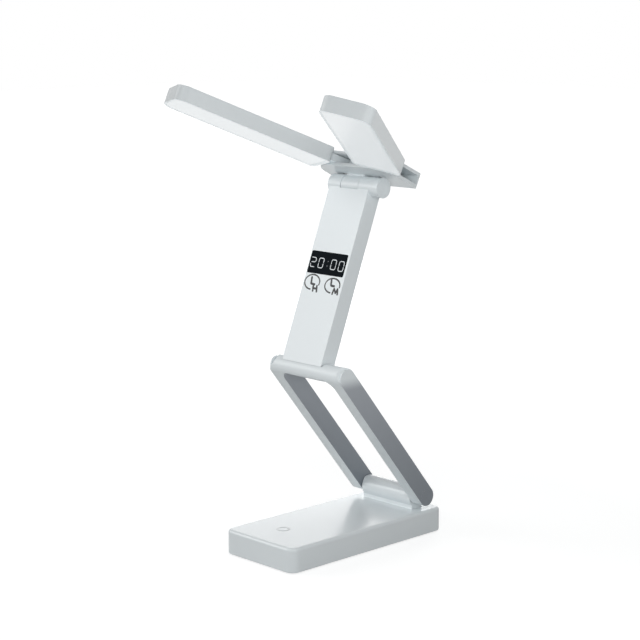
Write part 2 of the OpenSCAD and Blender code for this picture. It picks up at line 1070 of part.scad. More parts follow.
// Plan of a panel: a large outer and a small inner corner at the tip, so that the closed pair
// reads as one plate, and small corners at the swivel end
module panel_plan(side, inset, rear) {
    for (s = [-1, 1])
        mirror([s < 0 ? 1 : 0, 0])
            half_panel(panel_w / 2 - inset, -panel_reach + inset,
                (s == side ? panel_tip_r : panel_inner_r) - inset, rear, panel_rear_r - inset / 2);
}

module panel_housing(side) {
    color(WHITE)
        on_panel(side)
            difference() {
                union() {
                    difference() {
                        translate([0, 0, head_low])
                            linear_extrude(head_t)
                                panel_plan(side, 0, -panel_start);
                        linear_extrude(head_top - panel_skin)
                            panel_plan(side, panel_wall, -panel_start - panel_rear_wall);
                    }
                    translate([0, 0, tongue_low]) {
                        cylinder(r = tongue_r, h = tongue_top - tongue_low);
                        block([-tongue_r, -panel_start - panel_rear_wall / 2, 0],
                            [tongue_r, 0, tongue_top - tongue_low]);
                    }
                }
                cylinder(r = swivel_pin_r + running_fit, h = head_top);
                at_led_screws()
                    cylinder(r = small_screw_r, h = head_top - 0.8);
            }
}

module diffuser(side) {
    color(MILKY)
        on_panel(side)
            translate([0, 0, head_low + diffuser_rise])
                linear_extrude(diffuser_t)
                    panel_plan(side, panel_wall + nest_gap / 2,
                        -panel_start - panel_rear_wall - nest_gap / 2);
}

module led_board(side) {
    color("gainsboro")
        on_panel(side)
            difference() {
                translate([-led_board_w / 2, led_mid_y - led_board_l / 2,
                        head_top - panel_skin - led_board_t])
                    cube([led_board_w, led_board_l, led_board_t]);
                at_led_screws()
                    cylinder(r = small_screw_r, h = head_top);
            }
}

module leds(side) {
    color("khaki")
        on_panel(side)
            for (i = [0 : led_columns - 1], j = [0 : led_rows - 1])
                translate([(i - (led_columns - 1) / 2) * led_pitch_x - led_size / 2,
                        led_mid_y + (j - (led_rows - 1) / 2) * led_pitch_y - led_size / 2,
                        head_top - panel_skin - led_board_t - led_t])
                    cube([led_size, led_size, led_t]);
}

module panel_screws(side) {
    color(STEEL)
        on_panel(side)
            at_led_screws()
                translate([0, 0, head_top - panel_skin - led_board_t - small_head_t])
                    screw(small_screw_r, small_head_r, small_head_t, led_board_t + 1);
}

module left_panel_housing() {
    panel_housing(-1);
}

module left_diffuser() {
    diffuser(-1);
}

module left_led_board() {
    led_board(-1);
}

module left_leds() {
    leds(-1);
}

module left_panel_screws() {
    panel_screws(-1);
}

module right_panel_housing() {
    panel_housing(1);
}

module right_diffuser() {
    diffuser(1);
}

module right_led_board() {
    led_board(1);
}

module right_leds() {
    leds(1);
}

module right_panel_screws() {
    panel_screws(1);
}

base_shell();
base_plate();
rubber_sole();
base_screws();
ballast_plate();
battery_pack();
main_board();
board_screws();
usb_socket();
touch_ring();
touch_sensor();
base_hinge_pin();
base_hinge_washers();
lower_frame();
leg_covers();
leg_cover_screws();
frame_wires();
base_hinge_caps();
elbow_pin();
elbow_caps();
elbow_washers();
arm_back_shell();
arm_front_cover();
display_window();
display_module();
clock_board();
clock_board_screws();
key_sensor_board();
coin_cell();
arm_screws();
arm_wires();
tilt_pin();
tilt_end_caps();
head_carrier();
carrier_cover();
carrier_screws();
swivel_pins();
swivel_washers();
tilt_washers();
left_panel_housing();
left_diffuser();
left_led_board();
left_leds();
left_panel_screws();
right_panel_housing();
right_diffuser();
right_led_board();
right_leds();
right_panel_screws();
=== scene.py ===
# %% [markdown]
# # A folding desk lamp with a clock
#
# The lamp is a stack of flat white mouldings joined by five hinges. Its shells, pins and boards come
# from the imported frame, at their real size and place. This lesson gives every one of them a finish,
# softens the edges that a mould always rounds, and adds what the frame leaves out: the flanges of
# the pin caps, the lit digits, the printed key signs and the cross recesses of the screws.

import json
import math

import bpy
import numpy as np
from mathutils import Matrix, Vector


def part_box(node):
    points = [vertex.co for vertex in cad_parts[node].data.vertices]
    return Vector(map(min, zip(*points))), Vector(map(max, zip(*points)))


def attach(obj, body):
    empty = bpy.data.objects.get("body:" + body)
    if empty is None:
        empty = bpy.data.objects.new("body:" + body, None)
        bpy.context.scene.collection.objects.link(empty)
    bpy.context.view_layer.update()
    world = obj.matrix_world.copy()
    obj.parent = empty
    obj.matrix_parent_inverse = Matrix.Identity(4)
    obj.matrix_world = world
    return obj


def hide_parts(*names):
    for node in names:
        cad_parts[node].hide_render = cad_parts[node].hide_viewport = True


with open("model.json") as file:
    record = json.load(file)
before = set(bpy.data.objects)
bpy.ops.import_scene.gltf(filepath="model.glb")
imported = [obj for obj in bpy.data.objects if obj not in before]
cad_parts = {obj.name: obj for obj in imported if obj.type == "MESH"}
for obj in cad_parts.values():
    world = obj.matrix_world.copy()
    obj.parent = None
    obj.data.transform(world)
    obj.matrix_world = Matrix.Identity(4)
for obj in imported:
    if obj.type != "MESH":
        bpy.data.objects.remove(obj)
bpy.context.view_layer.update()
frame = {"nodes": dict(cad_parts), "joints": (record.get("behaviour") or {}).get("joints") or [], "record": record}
nodes = frame["nodes"]
joint_at = {joint["name"]: np.array(joint["pos_m"]) for joint in frame["joints"]}
swivel_axis = {joint["name"]: np.array(joint["axis"]) for joint in frame["joints"]}["left_swivel"]
scene = bpy.context.scene
MM = 0.001


def points_of(name):
    """The points of a frame node as an array of one row each, in metres."""
    mesh = nodes[name].data
    flat = np.zeros(len(mesh.vertices) * 3)
    mesh.vertices.foreach_get("co", flat)
    return flat.reshape(-1, 3)


# %% [markdown]
# ## The camera
#
# A photograph fixes where its camera stood. The edges of the base, legs, arm and panels were matched
# with their pixels, which gave the point, the two angles and the focal length below. A long lens
# from a metre and a half away keeps the perspective gentle, as in most product pictures.

# %% Camera
CAMERA_AT = Vector((0.91746, -0.90793, 0.40216))
CAMERA_YAW = 45.838
CAMERA_PITCH = 10.161
CAMERA_LENS = 99.45

camera_data = bpy.data.cameras.new("camera")
camera_data.lens = CAMERA_LENS
camera = bpy.data.objects.new("camera", camera_data)
camera.location = CAMERA_AT
camera.rotation_euler = (math.radians(90 - CAMERA_PITCH), 0, math.radians(CAMERA_YAW))
scene.collection.objects.link(camera)
scene.camera = camera
print("camera", tuple(round(c, 3) for c in CAMERA_AT))

# %% [markdown]
# ## Light and floor
#
# White plastic shows its shape only by soft changes of tone. The world adds a little light from
# everywhere. For the camera, and for reflections, Light Path turns it white: the backdrop is white
# without more light on the lamp, and the glossy top of the base mirrors white in front and the
# dark legs behind.

# %% Three helpers for nodes


def math_node(tree, operation, *values):
    """Returns the output of a Math node that works on the outputs of other nodes."""
    node = tree.nodes.new("ShaderNodeMath")
    node.operation = operation
    for socket, value in zip(node.inputs, values):
        tree.links.new(value, socket)
    return node.outputs[0]


def step_node(tree, value, start=0.0, end=1.0, first=0.0, last=1.0, eased=False):
    """Returns a node that goes from first to last while value goes from start to end: in a straight
    line, or eased as three times the square less twice the cube."""
    node = tree.nodes.new("ShaderNodeMapRange")
    node.interpolation_type = "SMOOTHSTEP" if eased else "LINEAR"
    node.inputs["From Min"].default_value = start
    node.inputs["From Max"].default_value = end
    node.inputs["To Min"].default_value = first
    node.inputs["To Max"].default_value = last
    tree.links.new(value, node.inputs["Value"])
    return node


def background_switch(tree, ambient, seen):
    """Returns a node whose output is ambient, and seen where a camera, glossy or glass ray looks."""
    path = tree.nodes.new("ShaderNodeLightPath").outputs
    either = math_node(tree, "MAXIMUM", path["Is Camera Ray"], path["Is Glossy Ray"])
    looks = math_node(tree, "MAXIMUM", either, path["Is Transmission Ray"])
    return step_node(tree, looks, first=ambient, last=seen)


# %% World and view
scene.view_settings.view_transform = "Standard"
AMBIENT = 0.27

world = bpy.data.worlds.new("studio")
scene.world = world
world.use_nodes = True
sky = world.node_tree.nodes["Background"]
sky.inputs["Color"].default_value = (1, 1, 1, 1)
sky_level = background_switch(world.node_tree, AMBIENT, 1.0)
world.node_tree.links.new(sky_level.outputs[0], sky.inputs["Strength"])
print("world", AMBIENT)

# %% [markdown]
# Six soft lamps do the modelling. A small one near the camera, at the height of the head, gives
# its light mostly to what is close to it: the arm, the elbow and the head more than the base. One
# on the left stands where the arm's face would mirror it, so that the face turns bright. One
# behind keeps the back of the lamp from going grey. A low strip on the left gives the base's
# top its sheen, a faint lamp on the right lights the arm's side, and a faint one near the table
# the faces that look down. A polished top seen at a low angle mirrors a lamp as a white glare, so
# two of the lamps can't be seen in reflections.

# %% Lamps


def area_lamp(name, at, aim, width, height, watts, mirrored=True):
    """A soft rectangular lamp, width by height metres, turned to aim and unseen by the camera."""
    data = bpy.data.lights.new(name, "AREA")
    data.shape = "RECTANGLE"
    data.size = width
    data.size_y = height
    data.energy = watts
    lamp = bpy.data.objects.new(name, data)
    lamp.visible_camera = False
    lamp.visible_glossy = mirrored
    lamp.location = at
    lamp.rotation_mode = "QUATERNION"
    lamp.rotation_quaternion = (Vector(aim) - Vector(at)).to_track_quat("-Z", "Y")
    scene.collection.objects.link(lamp)


# Name, place, aim, width and height in metres, and watts
area_lamp("near_light", (0.55, -0.60, 0.40), (0, 0, 0.20), 0.3, 0.3, 1.9, mirrored=False)
area_lamp("left_light", (-0.95, -0.85, 0.68), (0, 0, 0.22), 0.75, 0.75, 5.7)
area_lamp("back_light", (-0.80, 1.35, 0.45), (0, 0, 0.17), 0.8, 0.6, 8.5, mirrored=False)
area_lamp("sheen_strip", (-1.05, 1.03, 0.30), (0, 0, 0.05), 0.8, 0.3, 1.4)
area_lamp("right_light", (0.45, -0.10, 0.36), (0, 0, 0.27), 0.2, 0.2, 0.28)
area_lamp("low_light", (0.35, -0.45, 0.12), (0, 0, 0.30), 0.2, 0.2, 0.26)
print("six lamps")

# %% [markdown]
# The floor is a pale matte sheet. A lit matte floor is never quite white, and it darkens towards
# the horizon where the lamps don't reach, so it also glows for the camera: a little less near the
# lamp, where the soft shadow has to stay, and fully from a metre away.

# %% Floor
FLOOR_HALF = 6.0
FLOOR_COLOR = (0.40, 0.41, 0.41, 1)
GLOW_NEAR = 0.76
SHADOW_REACH = 0.25
GLOW_REACH = 0.9


def floor_material():
    """Matte, plus a glow that only the camera sees: GLOW_NEAR to 1 with the distance from the lamp."""
    material = bpy.data.materials.new("floor_white")
    material.use_nodes = True
    tree = material.node_tree
    tree.nodes.remove(tree.nodes["Principled BSDF"])
    matte = tree.nodes.new("ShaderNodeBsdfDiffuse")
    matte.inputs["Color"].default_value = FLOOR_COLOR
    place = tree.nodes.new("ShaderNodeTexCoord")
    distance = tree.nodes.new("ShaderNodeVectorMath")
    distance.operation = "LENGTH"
    tree.links.new(place.outputs["Object"], distance.inputs[0])
    far = step_node(tree, distance.outputs["Value"], SHADOW_REACH, GLOW_REACH, GLOW_NEAR, 1.0)
    level = background_switch(tree, 0.0, 1.0)
    tree.links.new(far.outputs[0], level.inputs["To Max"])
    glow = tree.nodes.new("ShaderNodeEmission")
    tree.links.new(level.outputs[0], glow.inputs["Strength"])
    both = tree.nodes.new("ShaderNodeAddShader")
    tree.links.new(matte.outputs[0], both.inputs[0])
    tree.links.new(glow.outputs[0], both.inputs[1])
    tree.links.new(both.outputs[0], tree.nodes["Material Output"].inputs["Surface"])
    return material


floor_mesh = bpy.data.meshes.new("floor")
corners = [(-FLOOR_HALF, -FLOOR_HALF, 0), (FLOOR_HALF, -FLOOR_HALF, 0),
           (FLOOR_HALF, FLOOR_HALF, 0), (-FLOOR_HALF, FLOOR_HALF, 0)]
floor_mesh.from_pydata(corners, [], [(0, 1, 2, 3)])
floor = bpy.data.objects.new("floor", floor_mesh)
floor.data.materials.append(floor_material())
scene.collection.objects.link(floor)
print("floor", 2 * FLOOR_HALF, "m wide")

# %% [markdown]
# ## Finishes
#
# Moulded plastic is never one flat colour. The mould leaves a fine spark-eroded grain, the gloss
# changes a little over a large face, and the colour drifts by a percent. Each finish below is a
# Principled shader with these three effects from noise on Object coordinates, at real sizes.

# %% A finish with grain


def noise_node(tree, place, size_mm, detail):
    """Returns the output of a noise whose lumps are about size_mm wide."""
    noise = tree.nodes.new("ShaderNodeTexNoise")
    noise.inputs["Scale"].default_value = 1 / (size_mm * MM)
    noise.inputs["Detail"].default_value = detail
    tree.links.new(place.outputs["Object"], noise.inputs["Vector"])
    return noise.outputs["Fac"]


def blend_node(tree, factor, a, b):
    """Returns a colour that goes from a to b with the factor. Each of the two is a written colour
    or the output of another node."""
    mix = tree.nodes.new("ShaderNodeMix")
    mix.data_type = "RGBA"
    tree.links.new(factor, mix.inputs["Factor"])
    for socket, color in (("A", a), ("B", b)):
        if isinstance(color, bpy.types.NodeSocket):
            tree.links.new(color, mix.inputs[socket])
        else:
            mix.inputs[socket].default_value = (*color, 1)
    return mix.outputs["Result"]


def finish(name, color, roughness, drift=0.015, drift_mm=40, gloss_drift=0.04, grain_mm=0.35,
           grain=0.01, metallic=0.0, specular=0.5, glow=0.0):
    """Colour and roughness wander by drift and gloss_drift; grain is the height of a fine bump."""
    material = bpy.data.materials.new(name)
    material.use_nodes = True
    tree = material.node_tree
    shader = tree.nodes["Principled BSDF"]
    shader.inputs["Metallic"].default_value = metallic
    shader.inputs["Specular IOR Level"].default_value = specular
    shader.inputs["Emission Color"].default_value = (*color, 1)
    shader.inputs["Emission Strength"].default_value = glow
    place = tree.nodes.new("ShaderNodeTexCoord")
    slow = noise_node(tree, place, drift_mm, 3)
    darker = [part * (1 - drift) for part in color]
    lighter = [min(part * (1 + drift), 1) for part in color]
    tree.links.new(blend_node(tree, slow, darker, lighter), shader.inputs["Base Color"])
    gloss = step_node(tree, slow, first=roughness - gloss_drift, last=roughness + gloss_drift)
    tree.links.new(gloss.outputs[0], shader.inputs["Roughness"])
    bump = tree.nodes.new("ShaderNodeBump")
    bump.inputs["Strength"].default_value = 1.0
    bump.inputs["Distance"].default_value = grain * MM
    tree.links.new(noise_node(tree, place, grain_mm, 2), bump.inputs["Height"])
    tree.links.new(bump.outputs[0], shader.inputs["Normal"])
    return material


# %% [markdown]
# The frame's record names a slot for every node, so one table of finishes dresses the whole lamp.
# The white is slightly cool, as in the photograph. The diffusers are milky acrylic lit from
# behind, so they glow a little and stay white where no lamp reaches. The base gets a smoother
# finish than the rest, because its top shows a sheen.

# %% A finish for every node
WHITE = (0.79, 0.84, 0.86)
finishes = {
    "white_plastic": finish("satin_white", WHITE, 0.30),
    "diffuser": finish("milky_diffuser", (0.58, 0.60, 0.61), 0.30, grain=0.004, glow=0.67),
    "display_window": finish("smoked_window", (0.003, 0.006, 0.009), 0.16, grain=0.0, specular=0.01),
    "display_module": finish("potted_module", (0.02, 0.02, 0.02), 0.5),
    "touch_ring": finish("touch_ring_grey", (0.62, 0.65, 0.67), 0.35),
    "steel": finish("nickel_steel", (0.62, 0.63, 0.65), 0.25, metallic=1.0),
    "nylon": finish("white_nylon", (0.72, 0.74, 0.75), 0.45),
    "rubber": finish("sole_rubber", (0.035, 0.035, 0.038), 0.75, grain=0.06),
    "ballast_iron": finish("ballast_iron", (0.10, 0.10, 0.10), 0.6, metallic=1.0, grain=0.1),
    "battery_foil": finish("battery_foil", (0.70, 0.72, 0.75), 0.3, metallic=1.0),
    "circuit_board": finish("green_board", (0.02, 0.13, 0.06), 0.35),
    "led_board": finish("white_board", (0.82, 0.82, 0.80), 0.4),
    "led": finish("phosphor", (0.85, 0.72, 0.30), 0.4),
    "wire": finish("red_lead", (0.5, 0.03, 0.02), 0.45),
}
slot_of = {part["node"]: part["material_slot"] for part in frame["record"]["subparts"]}
for name, node in nodes.items():
    node.data.materials.clear()
    node.data.materials.append(finishes[slot_of[name]])
nodes["base_shell"].data.materials[0] = finish("polished_white", WHITE, 0.20, gloss_drift=0.02)
print(len(finishes), "finishes on", len(nodes), "nodes")

# %% [markdown]
# ## Painted shade on the flanks of the legs
#
# The broad flanks of the lower frame are painted a slate grey, far darker than the walls of the
# base, which face the same way. This grey is painted shade on the faces that look sideways. The
# mask is the surface's own direction: where the Object normal points along X, the painted shade
# takes over. It is a little deeper towards the foot, also painted shade, and it fades out below
# the elbow, where the corner of the leg is all white.

# %% Painted slate shade where a face looks sideways
# Painted shade: the grey of the flanks, deeper at the foot than near the elbow.
FLANK_SHADE_FOOT = (0.225, 0.25, 0.28)
FLANK_SHADE_TOP = (0.36, 0.385, 0.42)
FLANK_SHADE_FROM_MM = 35
FLANK_SHADE_TO_MM = 125
FLANK_SHADE_ENDS_MM = (126, 137)
FADE_FROM = 0.30
FADE_TO = 0.97


def facing_node(tree, direction):
    """Returns the cosine between the surface's own normal and a direction."""
    place = tree.nodes.new("ShaderNodeTexCoord")
    dot = tree.nodes.new("ShaderNodeVectorMath")
    dot.operation = "DOT_PRODUCT"
    dot.inputs[1].default_value = direction
    tree.links.new(place.outputs["Normal"], dot.inputs[0])
    return dot.outputs["Value"]


def tint(material, factor, color):
    """Blends the material's base colour towards another one, which may be a node's output."""
    tree = material.node_tree
    base = tree.nodes["Principled BSDF"].inputs["Base Color"]
    tree.links.new(blend_node(tree, factor, base.links[0].from_socket, color), base)


def flank_shade_finish(name, color, foot, top, roughness):
    """A finish whose colour turns to a painted slate shade where the normal's X, without its sign,
    nears one. The painted shade goes from foot to top with the height, and it ends below the elbow."""
    material = finish(name, color, roughness)
    tree = material.node_tree
    place = tree.nodes.new("ShaderNodeTexCoord")
    where = tree.nodes.new("ShaderNodeSeparateXYZ")
    tree.links.new(place.outputs["Object"], where.inputs[0])
    height = where.outputs["Z"]
    # Painted shade on the faces that look along X, darker towards the foot.
    sideways = math_node(tree, "ABSOLUTE", facing_node(tree, (1, 0, 0)))
    fade = step_node(tree, sideways, FADE_FROM, FADE_TO, eased=True)
    ends_from, ends_to = FLANK_SHADE_ENDS_MM
    below = step_node(tree, height, ends_from * MM, ends_to * MM, 1.0, 0.0, eased=True)
    climb = step_node(tree, height, FLANK_SHADE_FROM_MM * MM, FLANK_SHADE_TO_MM * MM)
    painted_shade = blend_node(tree, climb.outputs[0], foot, top)
    tint(material, math_node(tree, "MULTIPLY", fade.outputs[0], below.outputs[0]), painted_shade)
    return material


# The frame and its pin caps carry the painted shade on their flanks.
frame_shade_finish = flank_shade_finish("satin_white_painted_shade_flanks", WHITE, FLANK_SHADE_FOOT, FLANK_SHADE_TOP, 0.36)
for name in ("lower_frame", "base_hinge_caps", "elbow_caps"):
    nodes[name].data.materials[0] = frame_shade_finish
print("slate flanks", FLANK_SHADE_FOOT, "to", FLANK_SHADE_TOP)

# %% [markdown]
# ## A painted glow on the rim and painted shade on the ends
#
# Each panel is a shallow tray lit from inside. The rim round the diffuser gets a painted glow:
# an emission, painted light, where the Object normal points the way the diffuser faces.
# Scattering inside the plastic is not simulated.
#
# The end wall of each panel is also a shade darker than its long walls, as painted shade: the
# white is dimmed where the normal points out along the panel.

# %% Panel housings with a painted glow on the rim and painted shade at the ends
# Painted light on the rim and painted shade on the end walls.
RIM_PAINTED_GLOW = 0.27
RIM_FROM = 0.80
RIM_TO = 0.99
END_SHADE = 0.80
END_FROM = 0.55
END_TO = 0.90


def out_along(name, pivot):
    """The unit vector from the swivel to the panel's middle, less its part along the axis."""
    arm = points_of(name).mean(axis=0) - pivot
    arm -= np.dot(arm, swivel_axis) * swivel_axis
    return arm / np.linalg.norm(arm)


def painted_rim_finish(name, color, roughness, down, along):
    """A finish with a painted glow, a smooth step of the cosine between the normal and down, and a
    painted shade that dims its colour to END_SHADE by a smooth step of the cosine between the
    normal and along."""
    material = finish(name, color, roughness)
    tree = material.node_tree
    # Painted shade: the colour dims towards END_SHADE on the end wall.
    at_end = step_node(tree, facing_node(tree, along), END_FROM, END_TO, eased=True)
    tint(material, at_end.outputs[0], [part * END_SHADE for part in color])
    # Painted light: an emission on the rim where the normal faces the diffuser's way.
    glow = step_node(tree, facing_node(tree, down), RIM_FROM, RIM_TO, 0.0, RIM_PAINTED_GLOW, eased=True)
    tree.links.new(glow.outputs[0], tree.nodes["Principled BSDF"].inputs["Emission Strength"])
    return material


for side in ("left", "right"):
    housing = side + "_panel_housing"
    along = out_along(housing, joint_at[side + "_swivel"])
    # Each housing gets the painted glow on its rim and painted shade on its end.
    painted_rim_and_end = painted_rim_finish(side + "_painted_rim_and_end", WHITE, 0.30, -swivel_axis, along)
    nodes[housing].data.materials[0] = painted_rim_and_end
    print(side, "panel points along", along.round(2))

# %% [markdown]
# ## Soft edges
#
# A frame node is a mesh of loose triangles, so its edges are razor sharp. Weld joins the triangles,
# Decimate melts those that lie in one plane, and Bevel then rounds what is left of the sharp edges.
# These are modifiers, so the node's own mesh stays as the frame made it.

# %% Bevel the frame's shells
WELD_MM = 0.002
FLAT_DEG = 0.5


def soften(node, width_mm, segments=3, limit=35):
    """Rounds every edge of a frame node that turns by more than limit degrees."""
    weld = node.modifiers.new("weld", "WELD")
    weld.merge_threshold = WELD_MM * MM
    melt = node.modifiers.new("melt", "DECIMATE")
    melt.decimate_type = "DISSOLVE"
    melt.angle_limit = math.radians(FLAT_DEG)
    bevel = node.modifiers.new("bevel", "BEVEL")
    bevel.width = width_mm * MM
    bevel.segments = segments
    bevel.limit_method = "ANGLE"
    bevel.angle_limit = math.radians(limit)
    bevel.use_clamp_overlap = True
    smooth = node.modifiers.new("even", "WEIGHTED_NORMAL")
    smooth.keep_sharp = False
    node.data.polygons.foreach_set("use_smooth", np.ones(len(node.data.polygons), bool))


EDGE_MM = {
    "lower_frame": 1.2, "arm_back_shell": 0.8, "arm_front_cover": 0.5, "head_carrier": 0.6,
    "carrier_cover": 0.8, "left_panel_housing": 0.4, "right_panel_housing": 0.4,
    "base_shell": 0.3, "leg_covers": 0.3,
}
for name, width in EDGE_MM.items():
    soften(nodes[name], width)
print(len(EDGE_MM), "nodes softened")

# %% [markdown]
# ## A helper for new pieces
#
# Most small pieces are a loop of points carried along a line: a stroke of ink is a flat loop along
# a bent line, and a screw is a circle whose size follows the screw's profile. So one helper takes a
# grid of points, rows of loops, joins each loop to the next, and closes both ends with a fan.

# %% Closed tubes from a grid of points


def closed_tube(grid):
    """Points, quads from loop to loop, and fans to the middle of the first and last loops. The
    volume is the sum over triangles of a times the cross product of b and c, over six. Where it
    is negative the faces look inwards, so they are turned round."""
    rows, columns, _ = grid.shape
    points = np.vstack([grid.reshape(-1, 3), grid[0].mean(0), grid[-1].mean(0)])
    row, column = np.meshgrid(np.arange(rows - 1), np.arange(columns), indexing="ij")
    near = row * columns + column
    beside = row * columns + (column + 1) % columns
    quads = np.stack([near, beside, beside + columns, near + columns], -1).reshape(-1, 4)
    one = np.arange(columns)
    following = (one + 1) % columns
    last = (rows - 1) * columns
    first_pole = rows * columns
    fans = np.vstack([
        np.stack([following, one, np.full(columns, first_pole)], -1),
        np.stack([last + one, last + following, np.full(columns, first_pole + 1)], -1),
    ])
    triangles = np.vstack([quads[:, [0, 1, 2]], quads[:, [0, 2, 3]], fans])
    a, b, c = (points[triangles[:, k]] for k in range(3))
    volume = np.einsum("ij,ij->", a, np.cross(b, c)) / 6
    if volume < 0:
        quads, fans = quads[:, ::-1], fans[:, ::-1]
    return points, quads, fans


def tube_piece(name, grids, material, body):
    """One object of several closed tubes, whose points are in metres where the piece is."""
    all_points, all_faces, used = [], [], 0
    for grid in grids:
        points, quads, fans = closed_tube(grid)
        all_points.append(points)
        all_faces += (quads + used).tolist() + (fans + used).tolist()
        used += len(points)
    mesh = bpy.data.meshes.new(name)
    mesh.from_pydata(np.vstack(all_points).tolist(), [], all_faces)
    mesh.polygons.foreach_set("use_smooth", np.ones(len(mesh.polygons), bool))
    piece = bpy.data.objects.new(name, mesh)
    piece.data.materials.append(material)
    scene.collection.objects.link(piece)
    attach(piece, body)
    print(name, len(grids), "tubes,", len(mesh.polygons), "faces")
    return piece


# %% [markdown]
# ## Caps over the pins
#
# A flush cap closes each end of the two long pins. The rounding of the legs' edges has also
# rounded the mouth of each cap's seat, which would leave a bright ring round it. So the caps are
# made again with a thin flange that lies in the rounded mouth: a circle carried along X.

# %% Flanged caps
FLANGE_WIDER = 1.5
FLANGE_DEEP = 1.25
FLANGE_PROUD = 0.02
CAP_COLUMNS = 96
CAP_INNER_DISC = 0.9
CAP_OUTER_DISC = 0.5


def flanged_cap(middle, radius, inner_x, outer_x):
    """The grid of one cap: each loop is a circle about the pin's axis, wider at the flange."""
    outwards = math.copysign(1, outer_x - inner_x)
    step_x = outer_x - outwards * FLANGE_DEEP * MM
    wide = radius + FLANGE_WIDER * MM
    profile = np.array([(inner_x, radius * CAP_INNER_DISC), (inner_x, radius), (step_x, radius),
                        (step_x, wide), (outer_x, wide), (outer_x, wide * CAP_OUTER_DISC)])
    turn = np.arange(CAP_COLUMNS) * 2 * math.pi / CAP_COLUMNS
    x = np.broadcast_to(profile[:, :1], (len(profile), CAP_COLUMNS))
    y = middle[1] + profile[:, 1:] * np.cos(turn)
    z = middle[2] + profile[:, 1:] * np.sin(turn)
    return np.stack([x, y, z], -1)


flank_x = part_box("lower_frame")[1].x + FLANGE_PROUD * MM
for name, joint in (("base_hinge_caps", "base_hinge"), ("elbow_caps", "elbow_hinge")):
    low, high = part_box(name)
    radius = (high.z - low.z) / 2
    inner = np.abs(points_of(name)[:, 0]).min()
    grids = [flanged_cap(joint_at[joint], radius, side * inner, side * flank_x) for side in (-1, 1)]
    caps = tube_piece("flanged_" + name, grids, frame_shade_finish, "frame")
    caps.data.polygons.foreach_set("use_smooth", np.zeros(len(caps.data.polygons), bool))
    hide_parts(name)

# %% [markdown]
# ## Drawing on the face of the arm
#
# The digits and the key signs lie on the arm's sloping face. They are easier to draw in a flat
# plan, x across from the arm's middle and z up from the elbow's axis, in millimetres. The arm's
# own directions come from the two joints at its ends, and the face is the frame's outermost plane.

# %% The plane of the arm's face
elbow = joint_at["elbow_hinge"]
arm_up = joint_at["head_tilt"] - elbow
arm_up /= np.linalg.norm(arm_up)
arm_out = np.array([0, -arm_up[2], arm_up[1]])
cover_low, cover_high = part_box("arm_front_cover")
arm_middle = (cover_low.x + cover_high.x) / 2
face_out = ((points_of("arm_front_cover") - elbow) @ arm_out).max()
print("arm face", round(face_out / MM, 2), "mm in front of the elbow's axis")


def on_arm_face(across, along, rise):
    """World points for plan values in millimetres; rise is the height over the face."""
    start = np.array([arm_middle, elbow[1], elbow[2]])
    across, along, rise = np.broadcast_arrays(across, along, rise)
    return (start + across[..., None] * MM * np.array([1, 0, 0]) + along[..., None] * MM * arm_up
            + (face_out + rise[..., None] * MM) * arm_out)


# %% [markdown]
# A stroke is drawn as a pen would: its middle line is a path, and its cross-section is a low flat
# bead. The bead's width follows half a circle at both ends, so each end is round.

# %% Paths and strokes
ARC_STEPS = 7
CAP_STEPS = 5
BEAD_POINTS = 12
BEAD_POWER = 0.35
BEAD_TIP = 0.02


def round_path(corners, radius):
    """Straight legs between the corners, each inner corner cut by an arc of the given radius."""
    corners = np.asarray(corners, float)
    path = [corners[:1]]
    for before, corner, after in zip(corners[:-2], corners[1:-1], corners[2:]):
        back = (before - corner) / np.linalg.norm(before - corner)
        ahead = (after - corner) / np.linalg.norm(after - corner)
        half = math.acos(np.clip(back @ ahead, -1, 1)) / 2
        cut = radius / math.tan(half)
        middle = corner + (back + ahead) / np.linalg.norm(back + ahead) * radius / math.sin(half)
        start, end = corner + back * cut - middle, corner + ahead * cut - middle
        share = np.linspace(0, 1, ARC_STEPS)[:, None]
        bend = start * (1 - share) + end * share
        path.append(middle + bend / np.linalg.norm(bend, axis=1)[:, None] * radius)
    path.append(corners[-1:])
    return np.vstack(path)


def ring_path(middle, radius_x, radius_z, from_deg, to_deg, steps=49):
    """Part of an ellipse: the middle plus each radius times the cosine and sine of the angle."""
    turn = np.radians(np.linspace(from_deg, to_deg, steps))
    return np.stack([middle[0] + radius_x * np.cos(turn), middle[1] + radius_z * np.sin(turn)], -1)


def stroke(path, width, low, high):
    """The grid of one bead: across is the path's normal times half the width, and the bead's
    section is a circle with both coordinates raised to a small power, which makes it flat."""
    path = np.asarray(path, float)
    ahead = np.gradient(path, axis=0)
    ahead /= np.linalg.norm(ahead, axis=1)[:, None]
    turn = np.linspace(0, math.pi / 2, CAP_STEPS + 1)[1:]
    reach = np.sin(turn)[:, None] * width / 2
    middle = np.vstack([(path[0] - ahead[0] * reach)[::-1], path, path[-1] + ahead[-1] * reach])
    ahead = np.vstack([np.repeat(ahead[:1], CAP_STEPS, 0), ahead, np.repeat(ahead[-1:], CAP_STEPS, 0)])
    thin = np.maximum(np.cos(turn), BEAD_TIP)
    half = np.concatenate([thin[::-1], np.ones(len(path)), thin]) * width / 2
    angle = np.arange(BEAD_POINTS) * 2 * math.pi / BEAD_POINTS
    side = np.sign(np.cos(angle)) * np.abs(np.cos(angle)) ** BEAD_POWER
    lift = np.sign(np.sin(angle)) * np.abs(np.sin(angle)) ** BEAD_POWER
    across = middle[:, :1] - ahead[:, 1:] * half[:, None] * side
    along = middle[:, 1:] + ahead[:, :1] * half[:, None] * side
    rise = (low + high) / 2 + (high - low) / 2 * lift
    return on_arm_face(across, along, rise)


# %% [markdown]
# ## The lit digits
#
# The clock shows a plain time in bars of light behind smoked acrylic. Each nought is an upper and a
# lower arch with a gap between them, as bar digits have, and the two is a bent bar over a hook.
# They could be a picture on the window, but strokes stay sharp at any distance and are a real shape.

